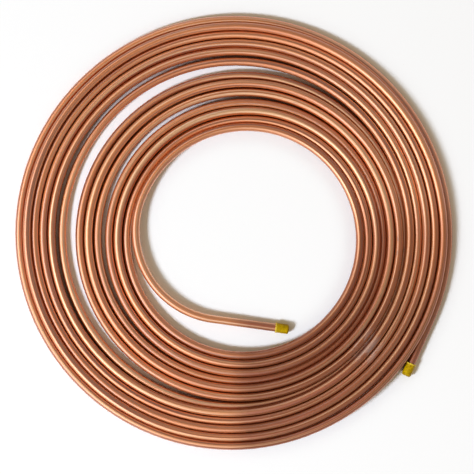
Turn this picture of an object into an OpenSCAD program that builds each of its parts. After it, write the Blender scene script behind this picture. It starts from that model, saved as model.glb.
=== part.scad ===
// Flat coil of soft copper tube with a push-on cap over each end.
// The tube is one continuous spiral. It is wound from true half circles that
// meet on one crossing line through the coil's axis, so that each half turn
// runs smoothly into the next. On the far side of that line the turns have
// sprung apart in three packs, with a crescent of free space between one pack
// and the next. On the near side they crowd together: the first turn of each
// pack is tucked in low, and its neighbours ride up over it.
// Lengths are in millimetres, the floor is at height 0 and +Z is up.

/* [Tube] */
// outside diameter of the tube
tube_od = 9.52; // [9:0.02:10]
// wall of the tube
tube_wall = 0.8; // [0.6:0.05:1.2]

/* [Coil] */
// reach of the outermost turn from the axis, on the near side
near_reach = 251.4; // [248:0.2:270]
// reach of the outermost turn from the axis, on the far side
far_reach = 251.2; // [248:0.2:270]
// free space from one turn to the next, on the near side
near_gap = 0.4; // [0.3:0.02:0.8]
// free space from one turn to the next in the outer pack, on the far side
outer_gap = 0.6; // [0.5:0.02:0.8]
// free space from one turn to the next in the middle pack, on the far side
middle_gap = 1.8; // [1.6:0.05:2.4]
// free space from one turn to the next in the inner pack, on the far side
inner_gap = 1.4; // [1.2:0.05:2]
// turns in the outer pack
outer_turns = 6; // [5:1:6]
// turns in the middle pack
middle_turns = 3; // [3:1:4]
// turns in the inner pack
inner_turns = 4; // [3:1:4]
// extra space before the outer pack's last turn, on the far side
lone_slack = 3; // [2.6:0.1:5]
// extra space between the outer and the middle pack, on the far side
outer_slack = 9.2; // [7:0.1:10.5]
// extra space between the middle and the inner pack, on the far side
middle_slack = 2.7; // [1.5:0.1:4]
// turn of the crossing line about the axis
line_turn = -24; // [-60:1:60]

/* [Ends] */
// straight run of the outer end, up to the cap's tip
outer_run = 69.2; // [40:0.2:80]
// free space beside the inner tail where its straight run starts
tail_stand = 26.6; // [20:0.2:36]
// free space between the inner cap's tip and the innermost turn
tail_clear = 8; // [4:0.5:24]

/* [Caps] */
// wall of a cap
cap_wall = 0.9; // [0.6:0.05:1.7]
// length of a cap
cap_l = 16; // [12:0.5:24]
// thickness of the closed end
cap_end_t = 1.2; // [0.8:0.1:2]
// rounding of the closed end
cap_round = 1.8; // [0.6:0.1:2.4]
// how far the rim stands out round the mouth
rim_proud = 0.4; // [0.2:0.1:0.8]
// length of the rim
rim_l = 1.6; // [1:0.1:3]
// play between the tube and the cap, all round
cap_play = 0.04; // [0.02:0.01:0.1]

/* [Hidden] */
tube_r = tube_od / 2;
tube_bore_r = tube_r - tube_wall;
cap_bore_r = tube_r + cap_play;
cap_r = cap_bore_r + cap_wall;
rim_r = cap_r + rim_proud;
skirt_l = cap_l - cap_end_t;
// a tube end in its cap lies this much higher than bare tube
cap_lift = rim_r - tube_r;

// How high the turns ride, as shares of the tube's diameter. Each pack has a row
// for its first, second, inner, last but one and last turns.
near_lift_shares = [
    [cap_lift / tube_od, 0.97, 0.97, 0.6, 0.87],
    [0, 0.87, 0.8, 0.8, 0.74],
    [0.13, 0.76, 0.76, 0.76, 0.76]
];
far_lift_shares = [
    [0, 0.5, 0, 0.2, 0],
    [0, 0.45, 0, 0.42, 0],
    [0, 0.32, 0, 0, 0.7]
];

pack_starts = [0, outer_turns, outer_turns + middle_turns];
turns = outer_turns + middle_turns + inner_turns;
last_turn = turns - 1;
last_station = 2 * turns - 1;
pack_gaps = [outer_gap, middle_gap, inner_gap];
pack_slacks = [0, outer_slack, middle_slack];

function pack_of(k) = k < pack_starts[1] ? 0 : k < pack_starts[2] ? 1 : 2;
function pack_end(pack) = pack == 2 ? last_turn : pack_starts[pack + 1] - 1;

// Column of the lift tables that turn k belongs to.
function place(k) = let (first = pack_starts[pack_of(k)], last = pack_end(pack_of(k)))
    k == last ? 4 : k == first ? 0 : k == first + 1 ? 1 : k == last - 1 ? 3 : 2;
function near_lift(k) = tube_od * near_lift_shares[pack_of(k)][place(k)];
function far_lift(k) = tube_od * far_lift_shares[pack_of(k)][place(k)];

// Step across the ring between two tubes with this gap, one this much higher.
function pitch(gap, rise) = sqrt(pow(tube_od + gap, 2) - pow(rise, 2));

// Where turn k crosses the line, counted from 0 outside, on the near side.
function near_at(k) = k == 0 ? near_reach :
    near_at(k - 1) - pitch(near_gap, near_lift(k) - near_lift(k - 1));

// The same on the far side, with the packs and the outer pack's last turn set apart.
function slack_before(k) = k == pack_starts[pack_of(k)] ? pack_slacks[pack_of(k)] :
    k == pack_end(0) ? lone_slack : 0;
function far_at(k) = k == 0 ? far_reach : far_at(k - 1) - slack_before(k)
    - pitch(pack_gaps[pack_of(k)], far_lift(k) - far_lift(k - 1));

// The tube passes the line at stations: even ones near, odd ones far.
function station_reach(j) = j % 2 == 0 ? near_at(j / 2) : far_at((j - 1) / 2);
function station_lift(j) = j % 2 == 0 ? near_lift(j / 2) : far_lift((j - 1) / 2);

// Radii are kept to whole hundredths and the cosines of tilts to whole
// millionths, so that one half turn meets the next face to face.
hundredths = 100;
millionths = 1000000;
function kept_radius(v) = round(v * hundredths) / hundredths;
function kept_tilt(rise, span) =
    sign(rise) * acos(round(cos(asin(rise / span)) * millionths) / millionths);

// Radius and tilt of every half turn from station j on, where the tube now
// lies at this reach and lift.
function bends_from(j, reach, lift) = j == last_station ? [] :
    let (rise = station_lift(j + 1) - lift)
    let (radius = kept_radius(norm([reach + station_reach(j + 1), rise]) / 2))
    let (tilt = kept_tilt(rise, 2 * radius))
    concat([[radius, tilt]],
        bends_from(j + 1, 2 * radius * cos(tilt) - reach, lift + 2 * radius * sin(tilt)));
bends = bends_from(0, near_reach, near_lift(0));

// The tail bends off the innermost turn, a little more than a quarter turn, on to
// a slope of 7 in 24. The innermost loop's radius and centre set its size.
tail_lean = atan2(7, 24);
tail_turn = 90 + tail_lean;
eye_r = (near_at(last_turn) + far_at(last_turn - 1)) / 2;
eye_shift = (near_at(last_turn) - far_at(last_turn - 1)) / 2;
tail_start = far_at(last_turn) + eye_shift;
bend_end_reach = eye_r - tube_od - tail_stand;
bend_depth = 1 + sin(tail_lean);
tail_bend_r = kept_radius(tail_start / 2 + sqrt(pow(tail_start, 2) / 4
    - (pow(tail_start, 2) - pow(bend_end_reach, 2)) / 2 / bend_depth));

// The run ends where the cap's side comes near the innermost turn.
tip_reach = eye_r - tube_r - tail_clear;
run_way = [cos(tail_lean), sin(tail_lean)];
run_side = [sin(tail_lean), -cos(tail_lean)];
run_from = [bend_depth * tail_bend_r - tail_start, -tail_bend_r * cos(tail_lean)] + rim_r * run_side;
tail_run = sqrt(pow(run_from * run_way, 2) - run_from * run_from + pow(tip_reach, 2))
    - run_from * run_way;

// The tail leans so that its cap's rim comes down to the floor.
tail_span = bend_depth * tail_bend_r + (tail_run - cap_l) * cos(tail_lean);
tail_tilt = kept_tilt(cap_lift - far_lift(last_turn), tail_span);

// edge of a block that is wider than the coil
clear_l = 2 * (near_reach + far_reach);
copper = [0.78, 0.45, 0.30];
yellow = [0.84, 0.74, 0.12];
$fn = 96;

// The tube's cross-section.
module section() {
    difference() {
        circle(tube_r);
        circle(tube_bore_r);
    }
}

// A straight length of tube that starts at the origin and runs up.
module straight(l) {
    linear_extrude(height = l) section();
}

// Half a turn that starts at the origin along +Y and bends towards -X.
module half_turn(radius) {
    translate([-radius, 0, 0]) rotate_extrude(angle = 180) translate([radius, 0]) section();
}

// Carries a child from the start of half turn j to its end.
module past(j) {
    rotate([0, bends[j][1], 0]) translate([-2 * bends[j][0], 0, 0])
        rotate([0, 0, 180]) rotate([0, bends[j][1], 0]) children();
}

// Sets a child on station j, with the tube heading along +Y and the axis towards -X.
module at_station(j) {
    if (j == 0) translate([near_reach, 0, near_lift(0)]) children();
    else at_station(j - 1) past(j - 1) children();
}

// Sets a child where the tube's outer end starts, running up.
module at_outer_end() {
    at_station(0) rotate([90, 0, 0]) children();
}

// Sets a child on the tail's bend centre, with the start of the bend on +X.
module at_tail_bend() {
    at_station(last_station) rotate([0, tail_tilt, 0]) translate([-tail_bend_r, 0, 0]) children();
}

// Sets a child where the tail's straight run starts, running up.
module at_tail_run() {
    at_tail_bend() rotate([0, 0, tail_turn]) translate([tail_bend_r, 0, 0])
        rotate([-90, 0, 0]) children();
}

// Lays the coil on the floor, turned to its crossing line.
module laid() {
    translate([0, 0, tube_r]) rotate([0, 0, line_turn]) children();
}

// The bend that carries the innermost turn off into the eye of the coil.
module tail_bend() {
    difference() {
        translate([tail_bend_r, 0, 0]) half_turn(tail_bend_r);
        rotate([0, 0, tail_turn]) translate([-clear_l / 2, 0, -clear_l / 2])
            cube([clear_l, clear_l, clear_l]);
    }
}

// A cup that slips over the tube's end, which stops against its closed end at height 0.
module cap() {
    rotate_extrude() difference() {
        union() {
            translate([0, -skirt_l]) square([cap_r, cap_l - cap_round]);
            translate([0, -skirt_l]) square([cap_r - cap_round, cap_l]);
            translate([0, -skirt_l]) square([rim_r, rim_l]);
            intersection() {
                translate([cap_r - cap_round, cap_end_t - cap_round]) circle(cap_round);
                translate([cap_r - cap_round, cap_end_t - cap_round]) square(cap_round);
            }
        }
        translate([0, -cap_l]) square([cap_bore_r, cap_l]);
    }
}

module copper_tube() {
    color(copper) laid() {
        at_outer_end() straight(outer_run - cap_end_t);
        for (j = [0:last_station - 1]) at_station(j) rotate([0, bends[j][1], 0]) half_turn(bends[j][0]);
        at_tail_bend() tail_bend();
        at_tail_run() straight(tail_run - cap_end_t);
    }
}

module inner_end_cap() {
    color(yellow) laid() at_tail_run() translate([0, 0, tail_run - cap_end_t]) cap();
}

module outer_end_cap() {
    color(yellow) laid() at_outer_end() translate([0, 0, outer_run - cap_end_t]) cap();
}

copper_tube();
inner_end_cap();
outer_end_cap();
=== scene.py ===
# %% [markdown]
# A flat coil of soft copper tube, as it comes from the mill: thirteen turns in one
# loose layer, a free tail across the eye and a yellow plastic cap on each end.
# The packed model is loaded first and stays as it is. Everything below is made
# in the same frame, in metres, so a piece is right when it lies where its node lies.

# %% Load the packed coil
import math

import bmesh
import bpy
from mathutils import Matrix, Vector


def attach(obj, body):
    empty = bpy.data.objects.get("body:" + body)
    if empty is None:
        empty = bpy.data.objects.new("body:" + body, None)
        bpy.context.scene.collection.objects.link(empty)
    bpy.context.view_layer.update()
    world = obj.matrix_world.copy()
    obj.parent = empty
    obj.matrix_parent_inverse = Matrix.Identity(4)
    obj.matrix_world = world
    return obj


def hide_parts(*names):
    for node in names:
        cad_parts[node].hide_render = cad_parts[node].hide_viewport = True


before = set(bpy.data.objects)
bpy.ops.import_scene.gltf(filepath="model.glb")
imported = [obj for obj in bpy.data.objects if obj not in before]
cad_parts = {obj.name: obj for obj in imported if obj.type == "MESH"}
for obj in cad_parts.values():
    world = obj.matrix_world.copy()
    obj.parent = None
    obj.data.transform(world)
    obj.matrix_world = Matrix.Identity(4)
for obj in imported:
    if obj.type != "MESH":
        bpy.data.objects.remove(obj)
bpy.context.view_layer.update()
scene = bpy.context.scene

# %% [markdown]
# The winding decides where all the tube goes. A real coil is let off a drum and
# springs a little, so its turns crowd on one side and stand apart in three packs on
# the other. One way to draw that is a free curve with many points. Here the tube
# only has to be known where it crosses one line through the middle: between two such
# stations it runs in a true half circle, and neighbours then never cut each other.
# A lift says how high the tube rides there, as a share of its diameter.

# %% Sizes of the winding
MM = 0.001
tube_od = 9.52 * MM
tube_wall = 0.8 * MM
near_reach = 251.4 * MM
far_reach = 251.2 * MM
near_gap = 0.4 * MM
pack_turns = [6, 3, 4]
pack_gaps = [0.6 * MM, 1.8 * MM, 1.4 * MM]
pack_slacks = [0, 9.2 * MM, 2.7 * MM]
lone_slack = 3 * MM
line_turn = math.radians(-24)
cap_play = 0.04 * MM
cap_wall = 0.9 * MM
rim_proud = 0.4 * MM
cap_lift = cap_play + cap_wall + rim_proud

# Each pack has a row for its first, second, inner, last but one and last turns.
near_lift_shares = [
    [cap_lift / tube_od, 0.97, 0.97, 0.6, 0.87],
    [0, 0.87, 0.8, 0.8, 0.74],
    [0.13, 0.76, 0.76, 0.76, 0.76],
]
far_lift_shares = [
    [0, 0.5, 0, 0.2, 0],
    [0, 0.45, 0, 0.42, 0],
    [0, 0.32, 0, 0, 0.7],
]
print("turns:", sum(pack_turns), "tube:", tube_od / MM, "mm")

# %% Stations where the tube crosses the line


def column(place, turns):
    """Column of the lift tables for a turn's place in its pack."""
    if place == turns - 1:
        return 4
    return {0: 0, 1: 1, turns - 2: 3}.get(place, 2)


def pitch(gap, rise):
    """Step across the ring between two tubes with this gap, one this much higher."""
    return math.sqrt((tube_od + gap) ** 2 - rise**2)


def stations():
    """Reach and lift of the tube at each crossing, near and far by turns."""
    found = []
    near, far = near_reach, far_reach
    for pack, turns in enumerate(pack_turns):
        for place in range(turns):
            near_lift = tube_od * near_lift_shares[pack][column(place, turns)]
            far_lift = tube_od * far_lift_shares[pack][column(place, turns)]
            if found:
                near -= pitch(near_gap, near_lift - found[-2][1])
                far -= pitch(pack_gaps[pack], far_lift - found[-1][1])
                far -= pack_slacks[pack] if place == 0 else 0
                far -= lone_slack if pack == 0 and place == turns - 1 else 0
            found += [(near, near_lift), (far, far_lift)]
    return found


crossings = stations()
eye_r = (crossings[-2][0] + crossings[-3][0]) / 2
print("stations:", len(crossings), "eye across:", round((2 * eye_r - tube_od) / MM, 1), "mm")

# %% [markdown]
# The tube itself is a ring that is swept along the winding. A curve with a bevel
# would do it too, but spinning the ring with bmesh gives true arcs and lets each
# vertex keep a note of where it lay on the tube before it was wound: sideways, up
# and along. The copper's draw lines need that note later. Each bend is spun in a
# bmesh of its own, because a spin slows down as its mesh grows, and the lengths are
# joined afterwards. The wall is modelled too, so the section is two rings.

# %% Section of the tube
OUTSIDE_SIDES = 32
INSIDE_SIDES = 16
tube_r = tube_od / 2


def tube_section(bm, ring_place):
    """The outer and inner rings of the tube's section, square to +Y of a place."""
    stand = ring_place @ Matrix.Rotation(math.pi / 2, 4, "X")
    rings = []
    for radius, sides in ((tube_r, OUTSIDE_SIDES), (tube_r - tube_wall, INSIDE_SIDES)):
        made = bmesh.ops.create_circle(bm, segments=sides, radius=radius, matrix=stand)
        rings += list({edge for vert in made["verts"] for edge in vert.link_edges})
    return rings


print("a side of the section is", round(2 * math.pi * tube_r / OUTSIDE_SIDES / MM, 2), "mm")

# %% A bent length
HALF_TURN_STEPS = 60
TUBE_NOTE = "unrolled"


def bent_length(place, ring_place, radius, angle, start):
    """A length of tube that bends towards -X of a place, and where its last ring is."""
    bm = bmesh.new()
    note = bm.verts.layers.float_vector.new(TUBE_NOTE)
    centre = place @ Vector((-radius, 0, 0))
    axis = place.to_3x3() @ Vector((0, 0, 1))
    steps = round(HALF_TURN_STEPS * angle / math.pi)
    bmesh.ops.spin(
        bm, geom=tube_section(bm, ring_place), cent=centre, axis=axis, angle=angle, steps=steps
    )
    back = place.inverted()
    for vert in bm.verts:
        spot = back @ vert.co
        arm = math.hypot(spot.x + radius, spot.y)
        turned = math.atan2(spot.y, spot.x + radius) % (2 * math.pi)
        turned -= 2 * math.pi if turned > 1.5 * math.pi else 0
        vert[note] = (arm - radius, spot.z, start + radius * turned)
    turn = Matrix.Translation(centre) @ Matrix.Rotation(angle, 4, axis) @ Matrix.Translation(-centre)
    return bm, turn @ ring_place


print("a step of the longest bend is", round(math.pi * near_reach / HALF_TURN_STEPS / MM, 1), "mm")

# %% A straight end


def end_length(place, ring_place, length, start):
    """A straight length with a cut end along +Y of a place, or back if it is negative."""
    bm = bmesh.new()
    note = bm.verts.layers.float_vector.new(TUBE_NOTE)
    grown = bmesh.ops.extrude_edge_only(bm, edges=tube_section(bm, ring_place))["geom"]
    verts = {item for item in grown if isinstance(item, bmesh.types.BMVert)}
    bmesh.ops.translate(bm, verts=list(verts), vec=place.to_3x3() @ Vector((0, length, 0)))
    cut = [edge for edge in bm.edges if set(edge.verts) <= verts]
    bmesh.ops.bridge_loops(bm, edges=cut)
    back = place.inverted()
    for vert in bm.verts:
        spot = back @ vert.co
        vert[note] = (spot.x, spot.z, start + spot.y)
    return bm


print("a cut end shows a wall of", round(tube_wall / MM, 2), "mm")

# %% Lengths joined end to end
MERGE_WITHIN = 0.001 * MM


def joined(lengths):
    """One closed tube from lengths that lie end to end."""
    whole = bmesh.new()
    for length in lengths:
        mesh = bpy.data.meshes.new("length")
        length.to_mesh(mesh)
        length.free()
        whole.from_mesh(mesh)
        bpy.data.meshes.remove(mesh)
    bmesh.ops.remove_doubles(whole, verts=whole.verts, dist=MERGE_WITHIN)
    bmesh.ops.recalc_face_normals(whole, faces=whole.faces)
    return whole


print("points nearer than", MERGE_WITHIN / MM, "mm become one")

# %% [markdown]
# The free ends. At the outer end the tube runs straight off the outermost turn. At
# the inner end it bends off a little more than a quarter turn into the eye, then
# runs straight on a slope of 7 in 24, and leans so that its cap meets the floor.
# The bend and the run are worked out from the eye, as a fitter would: so much room
# beside the tail, so much room before the cap.

# %% Sizes of the two ends
outer_run = 69.2 * MM
tail_stand = 26.6 * MM
tail_clear = 8 * MM
cap_length = 16 * MM
cap_end = 1.2 * MM
tail_lean = math.atan2(7, 24)
tail_turn = math.pi / 2 + tail_lean

eye_shift = (crossings[-2][0] - crossings[-3][0]) / 2
tail_start = crossings[-1][0] + eye_shift
bend_end_reach = eye_r - tube_od - tail_stand
bend_depth = 1 + math.sin(tail_lean)
root = tail_start**2 / 4 - (tail_start**2 - bend_end_reach**2) / 2 / bend_depth
tail_bend_r = tail_start / 2 + math.sqrt(root)

tip_reach = eye_r - tube_r - tail_clear
run_way = Vector((math.cos(tail_lean), math.sin(tail_lean)))
run_side = Vector((math.sin(tail_lean), -math.cos(tail_lean)))
run_from = Vector((bend_depth * tail_bend_r - tail_start, -tail_bend_r * math.cos(tail_lean)))
run_from += (tube_r + cap_lift) * run_side
along = run_from.dot(run_way)
tail_run = math.sqrt(along**2 - run_from.length_squared + tip_reach**2) - along
tail_span = bend_depth * tail_bend_r + (tail_run - cap_length) * math.cos(tail_lean)
print("tail bend:", round(tail_bend_r / MM, 2), "mm, run:", round(tail_run / MM, 2), "mm")

# %% [markdown]
# Now the tube is wound from its outer end inward. A place is carried from one half
# turn to the next and says where the tube is and which way it heads. Each half turn
# leans so that the tube climbs or sinks to its next lift. The last ring of a bend is
# carried on as well, so that the next bend starts on the same points, and the
# lengths merge without a seam.

# %% Wind the copper tube
TURN_ROUND = Matrix.Rotation(math.pi, 4, "Z")


def tilted(place, rise, span):
    """A place leaned about its own +Y so that the tube climbs by rise over span."""
    return place @ Matrix.Rotation(math.asin(rise / span), 4, "Y")


def wound_tube():
    """The whole tube as one mesh, and the places where its outer and inner caps sit."""
    place = Matrix.Rotation(line_turn, 4, "Z")
    place = place @ Matrix.Translation((crossings[0][0], 0, tube_r + crossings[0][1]))
    ring_place = place
    lengths = [end_length(place, place, cap_end - outer_run, 0)]
    outer_place = place @ Matrix.Translation((0, cap_end - outer_run, 0)) @ TURN_ROUND
    wound = 0
    for here, there in zip(crossings, crossings[1:]):
        rise = there[1] - here[1]
        radius = math.hypot(here[0] + there[0], rise) / 2
        lean = tilted(place, rise, 2 * radius)
        bend, ring_place = bent_length(lean, ring_place, radius, math.pi, wound)
        lengths.append(bend)
        wound += radius * math.pi
        place = tilted(lean @ Matrix.Translation((-2 * radius, 0, 0)) @ TURN_ROUND, rise, 2 * radius)
    lean = tilted(place, cap_lift - crossings[-1][1], tail_span)
    bend, ring_place = bent_length(lean, ring_place, tail_bend_r, tail_turn, wound)
    lengths.append(bend)
    wound += tail_bend_r * tail_turn
    place = lean @ Matrix.Translation((-tail_bend_r, 0, 0)) @ Matrix.Rotation(tail_turn, 4, "Z")
    place = place @ Matrix.Translation((tail_bend_r, 0, 0))
    lengths.append(end_length(place, ring_place, tail_run - cap_end, wound))
    inner_place = place @ Matrix.Translation((0, tail_run - cap_end, 0))
    print("tube length:", round(wound + outer_run + tail_run, 3), "m in", len(lengths), "lengths")
    return joined(lengths), outer_place, inner_place


tube_bm, outer_place, inner_place = wound_tube()

# %% [markdown]
# Every finished mesh is handed over alike. It becomes an object that stays at the
# origin, because its place is in its mesh, rides on the coil's one body and stands
# for a plain node of the packed coil, which is hidden. Faces are shaded smooth except
# across real edges, such as the tube's cut ends.

# %% Hand a finished mesh over
SHARP_FROM = math.radians(50)


def finished_piece(name, bm, node):
    """Makes a mesh the object that stands for a node of the packed coil."""
    mesh = bpy.data.meshes.new(name)
    bm.to_mesh(mesh)
    bm.free()
    mesh.shade_smooth()
    mesh.set_sharp_from_angle(angle=SHARP_FROM)
    piece = bpy.data.objects.new(name, mesh)
    scene.collection.objects.link(piece)
    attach(piece, "root")
    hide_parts(node)
    print(name, "faces:", len(mesh.polygons))
    return piece


tube = finished_piece("wound_copper_tube", tube_bm, "copper_tube")

# %% [markdown]
# The caps are soft yellow plastic cups that keep dirt out of the tube. On the real
# thing they are dipped or moulded: the closed end is rounded, the mouth has a small
# bead, and the wall is thin. A lathe profile spun round the tube's axis makes the
# whole cup in one go, inside and outside, and a bevel softens the bead's corners.

# %% Profile of a cap
cap_round = 2.6 * MM
rim_length = 1.6 * MM
bead_r = tube_r + cap_lift
mouth = cap_end - cap_length
CORNER_STEPS = 5


def cap_profile():
    """Half the cup's section as (radius, height), from inside the closed end to its tip."""
    bore = tube_r + cap_play
    outside = bore + cap_wall
    points = [(0, 0), (bore, 0), (bore, mouth), (bead_r, mouth)]
    points += [(bead_r, mouth + rim_length), (outside, mouth + rim_length)]
    for step in range(CORNER_STEPS + 1):
        turn = math.pi / 2 * step / CORNER_STEPS
        points.append((
            outside - cap_round + cap_round * math.cos(turn),
            cap_end - cap_round + cap_round * math.sin(turn),
        ))
    return points + [(0, cap_end)]


print("profile points:", len(cap_profile()), "bead across:", round(2 * bead_r / MM, 2), "mm")

# %% Turn the two caps
CAP_SIDES = 48
BEAD_STEPS = 3
bead_round = 0.35 * MM
SAME_WITHIN = 0.01 * MM
CAP_NOTE = "from_mouth"


def bead_corners(bm):
    """The two rings of edges where the bead stands out furthest."""
    furthest = {v for v in bm.verts if math.hypot(v.co.x, v.co.z) > bead_r - SAME_WITHIN}
    ends = [(edge, *edge.verts) for edge in bm.edges if set(edge.verts) <= furthest]
    return [edge for edge, one, other in ends if abs(one.co.y - other.co.y) < SAME_WITHIN]


def turned_cap(place):
    """A cup on the tube's end, which stops against the inside of its closed end."""
    bm = bmesh.new()
    verts = [bm.verts.new((radius, height, 0)) for radius, height in cap_profile()]
    edges = [bm.edges.new(pair) for pair in zip(verts, verts[1:])]
    bmesh.ops.spin(
        bm,
        geom=verts + edges,
        cent=(0, 0, 0),
        axis=(0, 1, 0),
        angle=2 * math.pi,
        steps=CAP_SIDES,
        use_merge=True,
    )
    bmesh.ops.remove_doubles(bm, verts=bm.verts, dist=MERGE_WITHIN)
    bmesh.ops.recalc_face_normals(bm, faces=bm.faces)
    bmesh.ops.bevel(
        bm,
        geom=bead_corners(bm),
        offset=bead_round,
        affect="EDGES",
        segments=BEAD_STEPS,
        profile=0.5,
        material=-1,
    )
    note = bm.verts.layers.float.new(CAP_NOTE)
    for vert in bm.verts:
        vert[note] = vert.co.y - mouth
    bmesh.ops.transform(bm, matrix=place, verts=bm.verts)
    return bm


inner_cap = finished_piece("inner_cap", turned_cap(inner_place), "inner_end_cap")
outer_cap = finished_piece("outer_cap", turned_cap(outer_place), "outer_end_cap")

# %% [markdown]
# Finishes are built from nodes. Writing a shader as sums and products is easier to
# read than a page of links, so one small class wraps a node's output and turns
# Python's operators into Math nodes. Every other node comes from one method. A
# colour is picked as it looks on a screen, and a shader takes amounts of light, so
# a helper changes one into the other.

# %% Arithmetic on the outputs of nodes


class Wire:
    """An output of a node. Arithmetic on it adds Math nodes."""

    def __init__(self, finish, socket):
        self.finish = finish
        self.socket = socket

    def maths(self, operation, first, second):
        return self.finish.node("ShaderNodeMath", {"operation": operation}, {0: first, 1: second})

    def __add__(self, other):
        return self.maths("ADD", self, other)

    def __radd__(self, other):
        return self.maths("ADD", other, self)

    def __sub__(self, other):
        return self.maths("SUBTRACT", self, other)

    def __rsub__(self, other):
        return self.maths("SUBTRACT", other, self)

    def __mul__(self, other):
        return self.maths("MULTIPLY", self, other)

    def __rmul__(self, other):
        return self.maths("MULTIPLY", other, self)


print("reflected forms:", [name for name in vars(Wire) if name.startswith("__r")])

# %% A finish that grows node by node


class Finish:
    """A material, or the room round it, whose nodes are added one by one."""

    def __init__(self, owner, shader="Principled BSDF"):
        self.owner = owner
        owner.use_nodes = True
        self.nodes = owner.node_tree.nodes
        self.links = owner.node_tree.links
        self.shader = self.nodes[shader]

    def node(self, kind, settings=None, inputs=None, output=0):
        """Adds a node, sets it, feeds its sockets and returns one output."""
        made = self.nodes.new(kind)
        for name, value in (settings or {}).items():
            setattr(made, name, value)
        for name, value in (inputs or {}).items():
            self.feed(made.inputs[name], value)
        return Wire(self, made.outputs[output])

    def feed(self, socket, value):
        """Links a wire to a socket, or sets a plain value on it."""
        if isinstance(value, Wire):
            self.links.new(value.socket, socket)
        else:
            socket.default_value = value

    def surface(self, **values):
        """Feeds the shader's sockets; an underscore in a name stands for a space."""
        for name, value in values.items():
            self.feed(self.shader.inputs[name.replace("_", " ")], value)

    def noise(self, vector, scale=1.0, detail=3.0, roughness=0.5):
        """Cloudy values from 0 to 1 over a vector."""
        inputs = {"Vector": vector, "Scale": scale, "Detail": detail, "Roughness": roughness}
        return self.node("ShaderNodeTexNoise", {}, inputs)

    def spread(self, value, low, high):
        """Stretches the values between low and high over 0 to 1, with soft ends."""
        settings = {"interpolation_type": "SMOOTHSTEP"}
        return self.node(
            "ShaderNodeMapRange", settings, {"Value": value, "From Min": low, "From Max": high}
        )

    def stretched(self, vector, factors):
        """A vector with each axis multiplied by its factor."""
        return self.node("ShaderNodeVectorMath", {"operation": "MULTIPLY"}, {0: vector, 1: factors})

    def blend(self, share, first, second):
        """A colour between two, by share."""
        settings = {"data_type": "RGBA"}
        return self.node(
            "ShaderNodeMix", settings, {"Factor": share, 6: first, 7: second}, output=2
        )

    def bump(self, height, distance, strength=1.0):
        """A normal that follows a height."""
        return self.node(
            "ShaderNodeBump", {}, {"Height": height, "Distance": distance, "Strength": strength}
        )


print("a finish knows:", [name for name in vars(Finish) if not name.startswith("_")])

# %% Colours given in screen values


def linear(red, green, blue):
    """A colour given in 0 to 255, as the light values that a shader takes."""

    def light(value):
        value /= 255
        return value / 12.92 if value <= 0.04045 else ((value + 0.055) / 1.055) ** 2.4

    return (light(red), light(green), light(blue), 1.0)


print("middle grey sends back", round(linear(128, 128, 128)[0], 3), "of the light")

# %% [markdown]
# Copper. Bright drawn tube is not a mirror: the die leaves fine lines along it, the
# annealing leaves it soft orange with rosy patches, and hands leave dull stains.
# All of that runs along the tube and not across the picture, so the pattern reads
# the note of the unrolled tube, drawn out long. One glossy metal would give orange
# highlights. Here the metal is rough, and a coat over it gives the whiter gloss of a
# trace of drawing oil. The lower right of the coil is coloured darker and duller, more
# so towards the bottom, and one spot has been gripped often; these two follow the
# coil and so read Object places.

# %% Patterns that run along the tube
# How often a pattern repeats in a metre across, up and along the tube.
FINE_LINES = (1100, 1100, 2.2)
BROAD_LINES = (440, 440, 1.4)
PATCHES = (45, 45, 6)
SPECKS = (170, 170, 60)
LUMPS = (30, 30, 14)


def tube_patterns(copper):
    """Cloudy values from 0 to 1: fine lines, broad lines, patches, specks and lumps."""
    unrolled = copper.node("ShaderNodeAttribute", {"attribute_name": TUBE_NOTE}, {}, "Vector")
    fine_lines = copper.noise(copper.stretched(unrolled, FINE_LINES), detail=2.0, roughness=0.6)
    broad_lines = copper.noise(copper.stretched(unrolled, BROAD_LINES), detail=2.0, roughness=0.5)
    patches = copper.noise(copper.stretched(unrolled, PATCHES), detail=3.0, roughness=0.55)
    specks = copper.noise(copper.stretched(unrolled, SPECKS), detail=4.0, roughness=0.6)
    lumps = copper.noise(copper.stretched(unrolled, LUMPS), detail=2.0, roughness=0.5)
    return fine_lines, broad_lines, patches, specks, lumps


print("a fine line is about", round(1 / FINE_LINES[0] / MM, 2), "mm wide")

# %% Places on the coil: the darker lower right and the gripped spot
# From where to where a change comes in: across to the picture's right, up to its top.
LOWER_RIGHT_ACROSS = (-12 * MM, 25 * MM)
LOWER_RIGHT_UP = (60 * MM, -10 * MM)
LOWER_DOWN_UP = (0, -120 * MM)
GRIP_SPOT = (154 * MM, -131 * MM, 10 * MM)
GRIP_REACH = (28 * MM, 8 * MM)


def lower_right_and_grip(copper, specks):
    """Shares from 0 to 1: the darker lower right, its part towards the bottom, and the gripped spot.
    """
    placed = copper.node("ShaderNodeTexCoord", {}, {}, "Object")
    across = copper.node("ShaderNodeSeparateXYZ", {}, {0: placed}, "X")
    up = copper.node("ShaderNodeSeparateXYZ", {}, {0: placed}, "Y")
    lower_right = copper.spread(across, *LOWER_RIGHT_ACROSS) * copper.spread(up, *LOWER_RIGHT_UP)
    lower_down = copper.spread(up, *LOWER_DOWN_UP)
    settings = {"operation": "DISTANCE"}
    apart = copper.node("ShaderNodeVectorMath", settings, {0: placed, 1: GRIP_SPOT}, "Value")
    gripped = copper.spread(apart, *GRIP_REACH) * copper.spread(specks, 0.46, 0.56)
    return lower_right, lower_down, gripped


print("gripped spot:", round(math.hypot(*GRIP_SPOT[:2]) / MM), "mm from the middle")

# %% Colours of the copper
BRIGHT = linear(248, 150, 70)
DEEP = linear(228, 126, 50)
PALE = linear(254, 206, 150)
BROWN = linear(151, 78, 36)
LOWER_RIGHT_COPPER = linear(166, 96, 57)
ROSY = linear(196, 108, 76)
STAIN = linear(140, 92, 68)
GREASE = linear(196, 164, 150)


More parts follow.
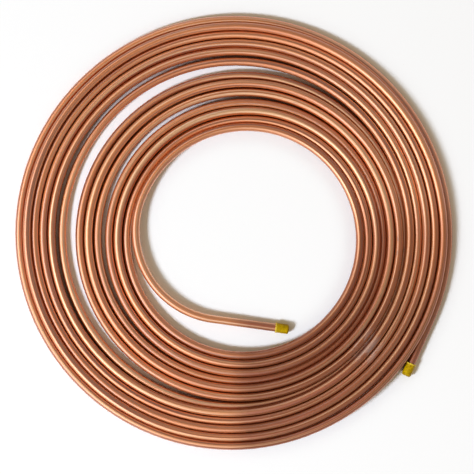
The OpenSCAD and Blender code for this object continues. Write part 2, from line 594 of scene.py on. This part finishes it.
def copper_colour(copper, fine_lines, broad_lines, patches, stains, places):
    """Patches first, then the darker lower right, then draw lines, stains and grease on top."""
    lower_right, lower_down, gripped = places
    colour = copper.blend(copper.spread(patches, 0.3, 0.7), DEEP, BRIGHT)
    # The lower right is coloured darker and duller, more so towards the bottom.
    colour = copper.blend(lower_right * (0.55 + 0.35 * lower_down), colour, LOWER_RIGHT_COPPER)
    colour = copper.blend(copper.spread(patches, 0.48, 0.6) * lower_right * 0.5, colour, ROSY)
    pale_share = copper.spread(broad_lines, 0.52, 0.62) * (0.7 - 0.3 * lower_right)
    colour = copper.blend(pale_share, colour, PALE)
    colour = copper.blend(copper.spread(broad_lines, 0.48, 0.38) * 0.7, colour, BROWN)
    colour = copper.blend(copper.spread(fine_lines, 0.5, 0.66) * 0.5, colour, BROWN)
    colour = copper.blend(stains * (0.15 + 0.35 * lower_right), colour, STAIN)
    return copper.blend(gripped * 0.6, colour, GREASE)


print("bright copper sends back", [round(value, 2) for value in BRIGHT[:3]])

# %% Bright drawn copper
LINE_DEPTH = 0.2 * MM


def drawn_copper():
    """The whole finish of the tube."""
    copper = Finish(bpy.data.materials.new("drawn_copper"))
    fine_lines, broad_lines, patches, specks, lumps = tube_patterns(copper)
    stains = copper.spread(specks, 0.6, 0.74)
    places = lower_right_and_grip(copper, specks)
    lower_right = places[0]
    relief = 0.25 * fine_lines + 0.8 * broad_lines + 0.7 * lumps
    copper.surface(
        Metallic=1.0,
        Base_Color=copper_colour(copper, fine_lines, broad_lines, patches, stains, places),
        Roughness=0.36 + 0.1 * fine_lines + 0.1 * patches + 0.08 * lower_right + 0.1 * stains,
        Coat_Weight=0.78 - 0.4 * lower_right,
        Coat_Roughness=0.16,
        Coat_IOR=2.6,
        Normal=copper.bump(relief, LINE_DEPTH, 0.7),
    )
    return copper.owner


tube.data.materials.append(drawn_copper())
print("copper nodes:", len(tube.data.materials[0].node_tree.nodes))

# %% [markdown]
# Cap plastic. It is a soft vinyl, dull yellow with a faint sheen. It is a little
# uneven in thickness, so the colour clouds slightly, and it picks up rubbed marks
# from the floor. The bead at the mouth is painted paler, a painted highlight, and
# the rounded end is painted darker, a painted shade. Both need to know how far a spot
# is from the mouth, which is the note that each cap's mesh keeps.

# %% Yellow cap plastic
CLOUD_YELLOWS = (linear(158, 125, 0), linear(196, 160, 0))
RUBBED_YELLOW = linear(228, 192, 5)
# Painted shade for the rounded end, and a painted highlight for the bead.
TIP_SHADE_YELLOW = linear(140, 106, 2)
BEAD_HIGHLIGHT_YELLOW = linear(248, 220, 80)
GRAIN_DEPTH = 0.12 * MM


def cap_plastic():
    """The finish of both caps."""
    plastic = Finish(bpy.data.materials.new("yellow_cap_plastic"))
    placed = plastic.node("ShaderNodeTexCoord", {}, {}, "Object")
    clouds = plastic.noise(placed, scale=260.0, detail=3.0, roughness=0.5)
    rubbed = plastic.noise(placed, scale=700.0, detail=4.0, roughness=0.6)
    rubbed = plastic.spread(rubbed, 0.56, 0.72)
    grain = plastic.noise(placed, scale=2600.0, detail=2.0, roughness=0.5)
    from_mouth = plastic.node("ShaderNodeAttribute", {"attribute_name": CAP_NOTE}, {}, "Fac")
    # Painted highlight: the bead at the mouth is made paler. Painted shade: the rounded end is made
    # darker.
    bead = plastic.spread(from_mouth, 1.4 * rim_length, 0.7 * rim_length)
    tip = plastic.spread(from_mouth, cap_length - cap_round, cap_length)
    colour = plastic.blend(plastic.spread(clouds, 0.3, 0.7), *CLOUD_YELLOWS)
    colour = plastic.blend(rubbed * 0.5, colour, RUBBED_YELLOW)
    colour = plastic.blend(tip * 0.5, colour, TIP_SHADE_YELLOW)
    colour = plastic.blend(bead * 0.6, colour, BEAD_HIGHLIGHT_YELLOW)
    plastic.surface(
        Base_Color=colour,
        Roughness=0.42 + 0.15 * clouds + 0.15 * rubbed,
        Specular_IOR_Level=0.12,
        Normal=plastic.bump(grain + clouds, GRAIN_DEPTH, 0.5),
    )
    return plastic.owner


yellow = cap_plastic()
for cap in (inner_cap, outer_cap):
    cap.data.materials.append(yellow)
print("plastic nodes:", len(yellow.node_tree.nodes))

# %% [markdown]
# The floor is a plain white sheet. A stronger lamp could make it pure white, but it
# would bleach the coil as well, so the floor is white by its own colour. Where it
# lies open, what the camera and the metal see of it is partly a plain white glow. An
# Ambient Occlusion node tells how open a spot is. Near the tubes there is no glow, so
# the shadow stays, and in the narrowest slits the floor turns brown, a painted shade.

# %% Floor
FLOOR_SIZE = 14.0
FLOOR_WHITE = (0.98, 0.98, 0.98, 1.0)
WHITE = (1.0, 1.0, 1.0, 1.0)
BLACK = (0.0, 0.0, 0.0, 1.0)
SLIT_SHADE_BROWN = linear(120, 70, 36)
SLIT_REACH = 30 * MM
GLOW_SHARE = 0.6
WATCHING_RAYS = ("Is Camera Ray", "Is Glossy Ray", "Is Transmission Ray")


def floor_paint():
    """White paint that glows a little where it lies open."""
    paint = Finish(bpy.data.materials.new("floor_paint"))
    settings = {"samples": 32}
    openness = paint.node("ShaderNodeAmbientOcclusion", settings, {"Distance": SLIT_REACH}, "AO")
    watched = sum(paint.node("ShaderNodeLightPath", {}, {}, ray) for ray in WATCHING_RAYS)
    glow = GLOW_SHARE * watched * paint.spread(openness, 0.75, 1.0)
    # Painted shade: the floor turns brown in the narrowest slits.
    colour = paint.blend(paint.spread(openness, 0.36, 0.14), FLOOR_WHITE, SLIT_SHADE_BROWN)
    paint.surface(
        Base_Color=paint.blend(glow, colour, BLACK),
        Emission_Color=paint.blend(glow, BLACK, WHITE),
        Emission_Strength=1.0,
        Roughness=0.9,
    )
    return paint.owner


def white_floor():
    """The sheet that the coil lies on, which is part of the set and not of the coil."""
    bm = bmesh.new()
    bmesh.ops.create_grid(bm, x_segments=1, y_segments=1, size=FLOOR_SIZE / 2)
    mesh = bpy.data.meshes.new("floor")
    bm.to_mesh(mesh)
    bm.free()
    mesh.materials.append(floor_paint())
    floor = bpy.data.objects.new("floor", mesh)
    scene.collection.objects.link(floor)


white_floor()
print("floor:", FLOOR_SIZE, "m wide")

# %% [markdown]
# The light. Metal shows the lamps themselves, so their shapes draw its highlights: a
# wide softbox off to the lower left of the picture makes the turns bright on the
# left, bottom left and top right and leaves them dull on the bottom right. A smaller,
# hotter window before it adds the cream highlights, and a weak softbox fills from the
# top left. The floor and the caps scatter light and would lose their shadow under
# such wide lamps. They have a small lamp of their own from the same side, which the
# metal doesn't show, and the wide ones leave them alone. Either way the light comes to
# about 1 in all, at which white is white.

# %% Lamps


def softbox(name, turn, lean, distance, width, height, radiance, for_metal=True):
    """An area light that faces the coil, for metal or else for what scatters light.

    Its turn is counted from +X and its lean from straight above, in degrees.
    """
    light = bpy.data.lights.new(name, "AREA")
    light.shape = "RECTANGLE"
    light.size = width
    light.size_y = height
    light.energy = radiance * math.pi * width * height
    lamp = bpy.data.objects.new(name, light)
    turn, lean = math.radians(turn), math.radians(lean)
    level = math.sin(lean)
    way = Vector((level * math.cos(turn), level * math.sin(turn), math.cos(lean)))
    lamp.location = way * distance
    lamp.rotation_euler = (-way).to_track_quat("-Z", "Y").to_euler()
    lamp.visible_glossy = for_metal
    lamp.visible_diffuse = not for_metal
    scene.collection.objects.link(lamp)
    share = radiance * width * height * math.cos(lean) / math.pi / distance**2
    print(name, "adds about", round(share, 2), "for", "metal" if for_metal else "the floor")
    return light


softbox("wide_softbox", -142, 46, distance=3.0, width=4.6, height=4.6, radiance=0.8)
softbox("hot_window", -157, 45, distance=3.4, width=3.4, height=2.0, radiance=1.7)
softbox("top_left_fill", 132, 50, distance=3.0, width=3.0, height=1.0, radiance=1.0)
floor_lamp = softbox(
    "floor_lamp", -147, 45, distance=3.4, width=0.7, height=0.7, radiance=80, for_metal=False
)

# %% [markdown]
# The room round the set is a plain grey, darker overhead, so that the tops of the
# tubes don't wash out. Shade beside the tubes is really lit by copper, which warms it.
# A path tracer finds that light slowly, so the room itself is warm for scattered
# light, and the floor's lamp is a little cool: together they leave the open floor
# white and the shadow olive. The Standard view shows colours as they are written.

# %% Room
OVERHEAD_LEVEL = 0.28
HORIZON_LEVEL = 0.4
OVERHEAD_FROM, OVERHEAD_TO = 0.66, 0.975
WARM_SHADE = (1.0, 0.82, 0.56, 1.0)
COOL_LAMP = (0.8, 0.88, 1.0)

floor_lamp.color = COOL_LAMP
room = Finish(bpy.data.worlds.new("room"), "Background")
gaze = room.node("ShaderNodeTexCoord", {}, {}, "Generated")
gaze_up = room.node("ShaderNodeSeparateXYZ", {}, {0: gaze}, "Z")
overhead = room.spread(gaze_up, OVERHEAD_FROM, OVERHEAD_TO)
scattered = room.node("ShaderNodeLightPath", {}, {}, "Is Diffuse Ray")
room.surface(
    Color=room.blend(scattered, WHITE, WARM_SHADE),
    Strength=HORIZON_LEVEL - (HORIZON_LEVEL - OVERHEAD_LEVEL) * overhead,
)
scene.world = room.owner
scene.view_settings.view_transform = "Standard"
print("room:", HORIZON_LEVEL, "at the horizon,", OVERHEAD_LEVEL, "overhead")

# %% [markdown]
# The photograph looks straight down. A long lens from high up keeps the far and the
# near edge of a tube alike. One picture point is 1.17 mm at the coil, and the coil's
# middle lies a little left of and above the picture's middle.

# %% Camera
PICTURE_POINTS = 474
POINT_SIZE = 1.17 * MM
CAMERA_HEIGHT = 2.4
COIL_HEIGHT = 8 * MM
SENSOR_WIDTH = 36
coil_middle_px = (233.5, 234.4)

camera_data = bpy.data.cameras.new("camera")
camera_data.sensor_width = SENSOR_WIDTH
camera_data.lens = SENSOR_WIDTH * (CAMERA_HEIGHT - COIL_HEIGHT) / (PICTURE_POINTS * POINT_SIZE)
camera = bpy.data.objects.new("camera", camera_data)
camera.location = (
    (PICTURE_POINTS / 2 - coil_middle_px[0]) * POINT_SIZE,
    (coil_middle_px[1] - PICTURE_POINTS / 2) * POINT_SIZE,
    CAMERA_HEIGHT,
)
scene.collection.objects.link(camera)
scene.camera = camera
print("lens:", round(camera_data.lens, 1), "mm")

# %% [markdown]
